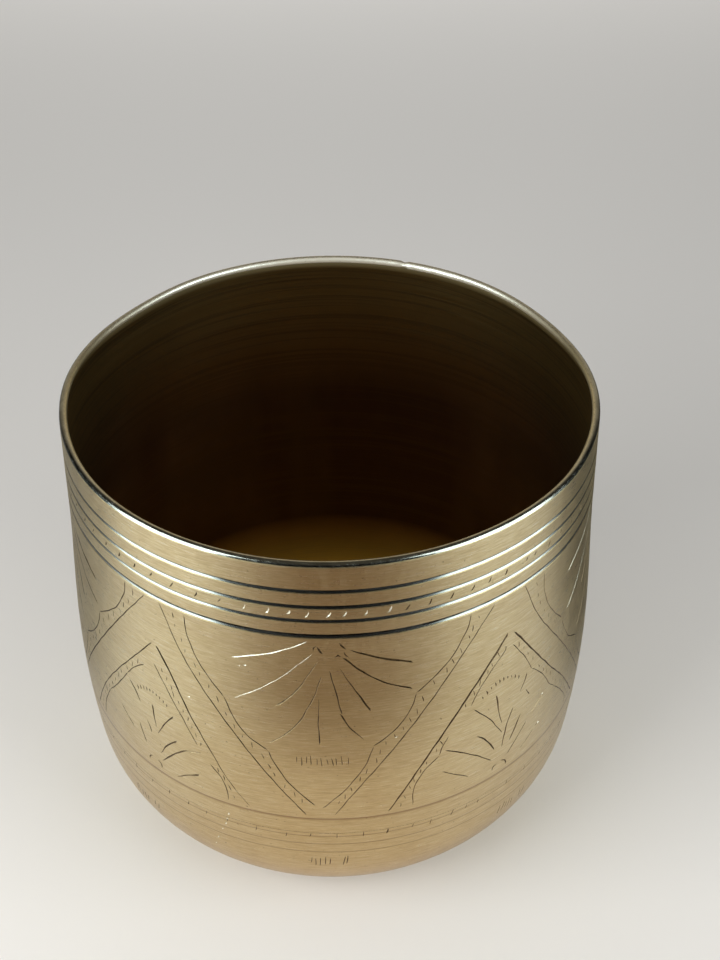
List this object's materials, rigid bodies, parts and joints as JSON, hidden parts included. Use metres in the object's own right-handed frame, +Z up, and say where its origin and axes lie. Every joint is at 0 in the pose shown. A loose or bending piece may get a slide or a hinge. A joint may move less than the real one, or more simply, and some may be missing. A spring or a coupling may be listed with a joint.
{
  "type": "engraved brass pot",
  "caption": "Wide-mouthed spun brass pot with a slight belly, a rolled and wired rim, turned bands and a hand-engraved frieze, standing on a flat base.",
  "frame": {"origin": "centre of the flat base, on the surface that the pot stands on", "axes": "+Z up along the pot's turning axis, out of the mouth; -Y is the side that the frieze's main panel faces; +X to the right as seen from -Y"},
  "size_m": [0.178, 0.178, 0.163],
  "materials": {
    "satin_brass": "brushed satin",
    "wire_steel": "drawn"
  },
  "bodies": {
    "root": {"vessel_body": "satin_brass", "rim_wire": "wire_steel"}
  },
  "joints": []
}
